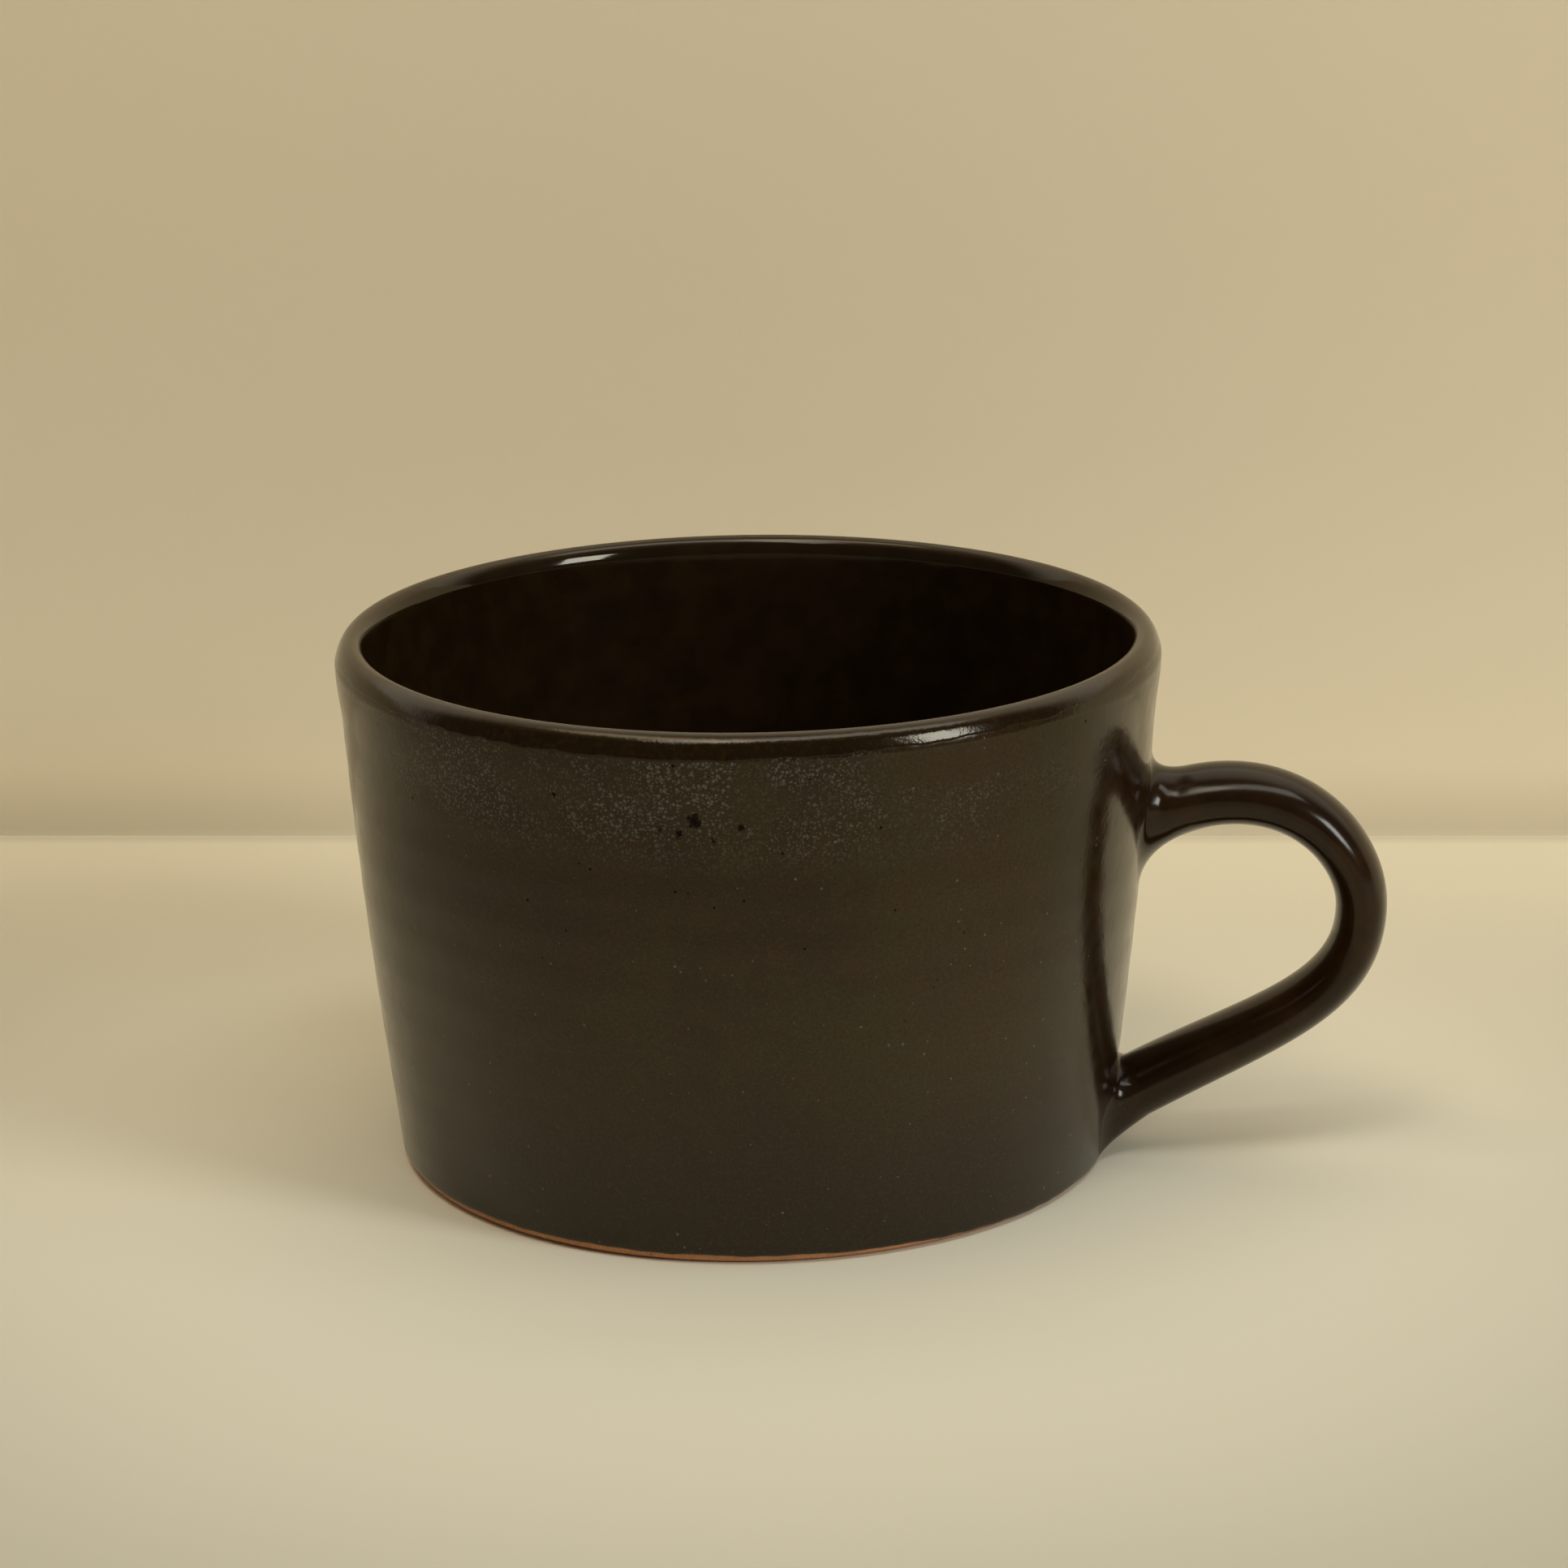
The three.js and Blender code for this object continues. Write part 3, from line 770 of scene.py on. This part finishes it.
def make_outer_material():
    """Satin glaze of the wall: its tone, pale crystals below the rim, pits and iron spots."""
    material, tree, shader = new_material("outer_glaze")
    at = place_of(tree)
    z = height_of(tree, at)
    tone = wall_tone(tree, at)
    forward = dot(tree, at, FRONT_DIRECTION)
    patches = ramp(tree, noise(tree, at, 130, 3), 0.34, 0.54, 0.25, 1.0)
    band = ramp(tree, z, 0.047, 0.057)
    facing = ramp(tree, forward, 0.35, 0.9, 0.12, 1.0)
    amount = calc(tree, "MULTIPLY", calc(tree, "MULTIPLY", band, facing), patches)
    right = dot(tree, at, RIGHT_DIRECTION)
    fade = calc(tree, "MULTIPLY", ramp(tree, z, 0.0555, 0.0595), ramp(tree, right, 0.08, 0.4))
    amount = calc(tree, "MULTIPLY", amount, calc(tree, "SUBTRACT", 1.0, fade))
    amount = calc(tree, "MULTIPLY", amount, ramp(tree, right, 0.3, 0.65, 1.0, 0.3))
    fine = calc(tree, "MULTIPLY", spots(tree, at, 2700, 0.28, 0.52, 0.95), 0.75)
    crystals = calc(tree, "MAXIMUM", fine, spots(tree, at, 1800, 0.26, 0.5, 0.95))
    crystals = calc(tree, "MULTIPLY", crystals, amount)
    specks = calc(tree, "MULTIPLY", spots(tree, at, 1300, 0.1, 0.28, 0.06), 0.6)
    pits = spots(tree, at, 620, 0.06, 0.17, 0.16)
    pits = calc(tree, "MULTIPLY", pits, ramp(tree, z, 0.02, 0.05, 0.25, 1.0))
    wobble = noise(tree, at, 1500, 3, 0.65)
    for degrees, height, radius in IRON_SPOTS:
        pits = calc(tree, "MAXIMUM", pits, patch(tree, at, on_wall(degrees, height), radius, wobble))
    dusk = calc(tree, "MULTIPLY", amount, 0.15)
    tone = blend(tree, dusk, tone, NEAR_BLACK)
    tone = blend(tree, calc(tree, "MULTIPLY", crystals, 0.6), tone, CRYSTAL)
    tone = blend(tree, specks, tone, CRYSTAL)
    tone = blend(tree, calc(tree, "MULTIPLY", pits, 0.95), tone, NEAR_BLACK)
    tree.links.new(tone, shader.inputs["Base Color"])
    rough = ramp(tree, noise(tree, at, 400, 3), 0.3, 0.7, 0.13, 0.19)
    rough = calc(tree, "ADD", rough, calc(tree, "MULTIPLY", crystals, 0.25))
    tree.links.new(rough, shader.inputs["Roughness"])
    tree.links.new(ramp(tree, pits, 0.0, 1.0, 0.5, 0.1), shader.inputs["Specular IOR Level"])
    shader.inputs["IOR"].default_value = GLAZE_IOR
    shader.inputs["Specular Tint"].default_value = WALL_GLOSS
    peel = calc(tree, "MULTIPLY_ADD", noise(tree, at, 450, 2), 1.5, noise(tree, at, 1500, 2))
    relief = calc(tree, "SUBTRACT", calc(tree, "ADD", peel, crystals), calc(tree, "MULTIPLY", pits, 3.0))
    tree.links.new(bump(tree, relief, 0.25, 0.00005), shader.inputs["Normal"])
    return material


# The wall's face as a cone, for the glaze near it: growth of its radius with height, and radius at the foot
WALL_SLOPE = 0.0965
WALL_FOOT = 0.0438


def make_handle_material():
    """Glossy glaze of the handle, which takes the wall's tone where its joins run out."""
    material, tree, shader = new_material("handle_glaze")
    at = place_of(tree)
    tone = blend(tree, ramp(tree, noise(tree, at, 160, 4), 0.35, 0.65), HANDLE_BROWN, HANDLE_DEEP)
    mottle = ramp(tree, noise(tree, at, 900, 3, 0.6), 0.52, 0.75, 0.0, 0.4)
    tone = blend(tree, mottle, tone, HANDLE_MOTTLE)
    z = height_of(tree, at)
    wall = calc(tree, "MULTIPLY_ADD", z, WALL_SLOPE, WALL_FOOT)
    clear = calc(tree, "SUBTRACT", from_axis(tree, at), wall)
    reach = ramp(tree, z, 0.018, 0.03, 0.0045, 0.0014)
    near = ramp(tree, clear, 0.0001, reach, 1.0, 0.0)
    tone = blend(tree, near, tone, wall_tone(tree, at))
    tree.links.new(tone, shader.inputs["Base Color"])
    tree.links.new(ramp(tree, clear, 0.0003, 0.004, 0.16, 0.17), shader.inputs["Roughness"])
    shader.inputs["IOR"].default_value = HANDLE_IOR
    shader.inputs["Specular Tint"].default_value = HANDLE_GLOSS
    peel = calc(tree, "MULTIPLY_ADD", noise(tree, at, 1300, 2), 0.2, noise(tree, at, 260, 2))
    tree.links.new(bump(tree, peel, 0.2, 0.0001), shader.inputs["Normal"])
    return material


def make_liner_material():
    """Glossy glaze of the inside, darker and amber on its lap and dull on the crown of the rim."""
    material, tree, shader = new_material("liner_glaze")
    at = place_of(tree)
    z = height_of(tree, at)
    tone = blend(tree, ramp(tree, noise(tree, at, 220, 4), 0.3, 0.7), LINER_BROWN, LINER_DEEP)
    clear = calc(tree, "SUBTRACT", from_axis(tree, at), LAP_RADIUS)
    lap = calc(tree, "MULTIPLY", ramp(tree, clear, 0.0, 0.0012), ramp(tree, z, 0.058, 0.06))
    streaks = noise(tree, at, 1400, 3, 0.6)
    amber = calc(tree, "MULTIPLY", lap, ramp(tree, streaks, 0.45, 0.7, 0.1, 0.8))
    tone = blend(tree, calc(tree, "MULTIPLY", lap, 0.5), tone, LAP_DARK)
    tone = blend(tree, amber, tone, LAP_AMBER)
    crown = ramp(tree, z, 0.0642, 0.0648)
    tone = blend(tree, calc(tree, "MULTIPLY", crown, 0.85), tone, CROWN_TAN)
    tree.links.new(tone, shader.inputs["Base Color"])
    rough = ramp(tree, z, 0.0585, 0.061, 0.22, 0.08)
    rough = calc(tree, "MAXIMUM", rough, ramp(tree, lap, 0.0, 1.0, 0.0, 0.13))
    rough = calc(tree, "MAXIMUM", rough, calc(tree, "MULTIPLY", crown, 0.22))
    tree.links.new(rough, shader.inputs["Roughness"])
    shader.inputs["IOR"].default_value = GLAZE_IOR
    tree.links.new(ramp(tree, z, 0.058, 0.061, 0.12, 0.5), shader.inputs["Specular IOR Level"])
    shader.inputs["Specular Tint"].default_value = LINER_GLOSS
    grit = calc(tree, "MULTIPLY", noise(tree, at, 2200, 2, 0.6), ramp(tree, lap, 0.0, 1.0, 0.05, 1.0))
    relief = calc(tree, "ADD", grit, calc(tree, "MULTIPLY", noise(tree, at, 220, 2), 0.8))
    tree.links.new(bump(tree, relief, 0.3, 0.00007), shader.inputs["Normal"])
    return material


clay_material = make_clay_material()
pieces = (
    (make_cup_clay(), clay_material),
    (make_outer_glaze(), make_outer_material()),
    (make_liner_glaze(), make_liner_material()),
    (make_handle_glaze(), make_handle_material()),
)
for piece, material in pieces:
    piece.data.materials.append(material)
for node in ("handle", "upper_join", "lower_join"):
    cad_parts[node].data.materials.clear()
    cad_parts[node].data.materials.append(clay_material)


# Studio
TABLE_HALF = 1.5
TABLE_DROP = 0.00005
BACKDROP_AWAY = 0.127
BACKDROP_TURN = math.radians(3)
BACKDROP_HALF = 0.8
BACKDROP_HEIGHT = 0.16
TABLE_TONES = (srgb(190, 181, 155), srgb(194, 185, 159))
# Painted light: lighter tones for the table round the cup and towards the wall, and for the lower wall;
# painted shade for the corner
TABLE_NEAR_PAINTED_LIGHT = srgb(252, 241, 211)
TABLE_BY_WALL_PAINTED_LIGHT = srgb(252, 239, 206)
BACKDROP_TONES = (srgb(246, 227, 190), srgb(250, 231, 194))
BACKDROP_LOW_PAINTED_LIGHT = srgb(255, 241, 208)
CORNER_SHADE = srgb(120, 104, 76)


def make_stage():
    """A pale table, and a wall behind it that shows only from the front, with painted light round the cup,
    towards the wall and low on the wall, and painted shade in the corner.
    """
    material, tree, shader = new_material("pale_table_painted_light_and_shade")
    at = place_of(tree)
    tone = blend(tree, noise(tree, at, 6, 3), *TABLE_TONES)
    # Painted light: the table is lighter round the cup, standing in for the light its shadow takes away
    light = ramp(tree, from_axis(tree, at), 0.055, 0.17, 0.9, 0.0)
    tone = blend(tree, light, tone, TABLE_NEAR_PAINTED_LIGHT)
    # Painted light: the table is lighter towards the wall behind it, with painted shade in the corner where
    # they meet
    from_backdrop = (math.sin(BACKDROP_TURN), -math.cos(BACKDROP_TURN), 0)
    gap = calc(tree, "ADD", dot(tree, at, from_backdrop), BACKDROP_AWAY)
    tone = blend(tree, ramp(tree, gap, 0.01, 0.14, 0.95, 0.0), tone, TABLE_BY_WALL_PAINTED_LIGHT)
    tone = blend(tree, ramp(tree, gap, 0.0, 0.005, 0.2, 0.0), tone, CORNER_SHADE)
    tree.links.new(tone, shader.inputs["Base Color"])
    shader.inputs["Roughness"].default_value = 0.7
    mesh = bpy.data.meshes.new("floor")
    corners = [(x * TABLE_HALF, y * TABLE_HALF, 0) for x, y in ((-1, -1), (1, -1), (1, 1), (-1, 1))]
    mesh.from_pydata(corners, [], [(0, 1, 2, 3)])
    floor = bpy.data.objects.new("floor", mesh)
    floor.location.z = -TABLE_DROP
    mesh.materials.append(material)

    wall, tree, shader = new_material("pale_wall_painted_light_and_shade")
    at = place_of(tree)
    tone = blend(tree, noise(tree, at, 6, 3), *BACKDROP_TONES)
    height = height_of(tree, at)
    # Painted light on the lower wall, and painted shade just above the table
    tone = blend(tree, ramp(tree, height, 0.01, 0.1, 0.8, 0.0), tone, BACKDROP_LOW_PAINTED_LIGHT)
    shade = ramp(tree, height, 0.0012, 0.0125, 0.2, 0.0)
    shade = calc(tree, "MULTIPLY", shade, ramp(tree, height, -0.0005, 0.0015, 0.5, 1.0))
    tone = blend(tree, shade, tone, CORNER_SHADE)
    tree.links.new(tone, shader.inputs["Base Color"])
    shader.inputs["Roughness"].default_value = 0.8
    behind = add(tree, "ShaderNodeNewGeometry", {}).outputs["Backfacing"]
    clear = add(tree, "ShaderNodeBsdfTransparent", {}).outputs[0]
    shown_side = add(tree, "ShaderNodeMixShader", {0: behind, 1: shader.outputs[0], 2: clear}).outputs[0]
    tree.links.new(shown_side, tree.nodes["Material Output"].inputs["Surface"])
    mesh = bpy.data.meshes.new("backdrop")
    corners = [(x * BACKDROP_HALF, 0, z * BACKDROP_HEIGHT) for x, z in ((-1, 0), (1, 0), (1, 1), (-1, 1))]
    mesh.from_pydata(corners, [], [(0, 1, 2, 3)])
    backdrop = bpy.data.objects.new("backdrop", mesh)
    backdrop.location = Vector((-math.cos(FRONT), -math.sin(FRONT), 0)) * BACKDROP_AWAY
    backdrop.rotation_euler.z = BACKDROP_TURN
    mesh.materials.append(wall)
    for obj in (floor, backdrop):
        bpy.context.scene.collection.objects.link(obj)


def area_light(name, place, target, width, height, power, colour):
    data = bpy.data.lights.new(name, "AREA")
    data.shape = "RECTANGLE"
    data.size = width
    data.size_y = height
    data.energy = power
    data.color = colour
    light = bpy.data.objects.new(name, data)
    light.location = place
    light.rotation_euler = (Vector(target) - Vector(place)).to_track_quat("-Z", "Y").to_euler()
    bpy.context.scene.collection.objects.link(light)


def towards(azimuth, elevation, distance):
    """A place at an angle right of the camera's direction and above the table, in degrees."""
    angle = FRONT + math.radians(azimuth)
    rise = math.radians(elevation)
    flat = distance * math.cos(rise)
    return Vector((flat * math.cos(angle), flat * math.sin(angle), distance * math.sin(rise)))


CUP_MIDDLE = (0, 0, 0.03)

# Lamps: degrees right of the camera and above the table, distance, width and height in metres, watts, colour
LAMPS = (
    ("lamp", (-48, 70, 0.9), (0.6, 0.2), 1.3, (1, 0.9, 0.72)),
    ("skylight", (28, 72, 0.9), (1.05, 0.22), 2.2, (0.93, 0.97, 1)),
    ("window", (55, 28, 1.2), (0.3, 0.38), 4.8, (0.86, 0.93, 1)),
)

# Light of the room: below the horizon, high in front of the mug and high behind it
ROOM_LOW = (0.55, 0.5, 0.4, 1)
ROOM_FRONT = (0.07, 0.066, 0.06, 1)
ROOM_BEHIND = (0.95, 0.89, 0.76, 1)


def make_room():
    world = bpy.data.worlds.new("room")
    world.use_nodes = True
    tree = world.node_tree
    direction = add(tree, "ShaderNodeTexCoord", {}).outputs["Generated"]
    behind = dot(tree, direction, (-math.cos(FRONT), -math.sin(FRONT), 0))
    above = blend(tree, ramp(tree, behind, 0.05, 0.4), ROOM_FRONT, ROOM_BEHIND)
    room = blend(tree, ramp(tree, height_of(tree, direction), -0.02, 0.09), ROOM_LOW, above)
    tree.links.new(room, tree.nodes["Background"].inputs["Color"])
    bpy.context.scene.world = world


make_stage()
for name, place, size, power, colour in LAMPS:
    area_light(name, towards(*place), CUP_MIDDLE, *size, power, colour)
make_room()
bpy.context.scene.view_settings.view_transform = "Standard"
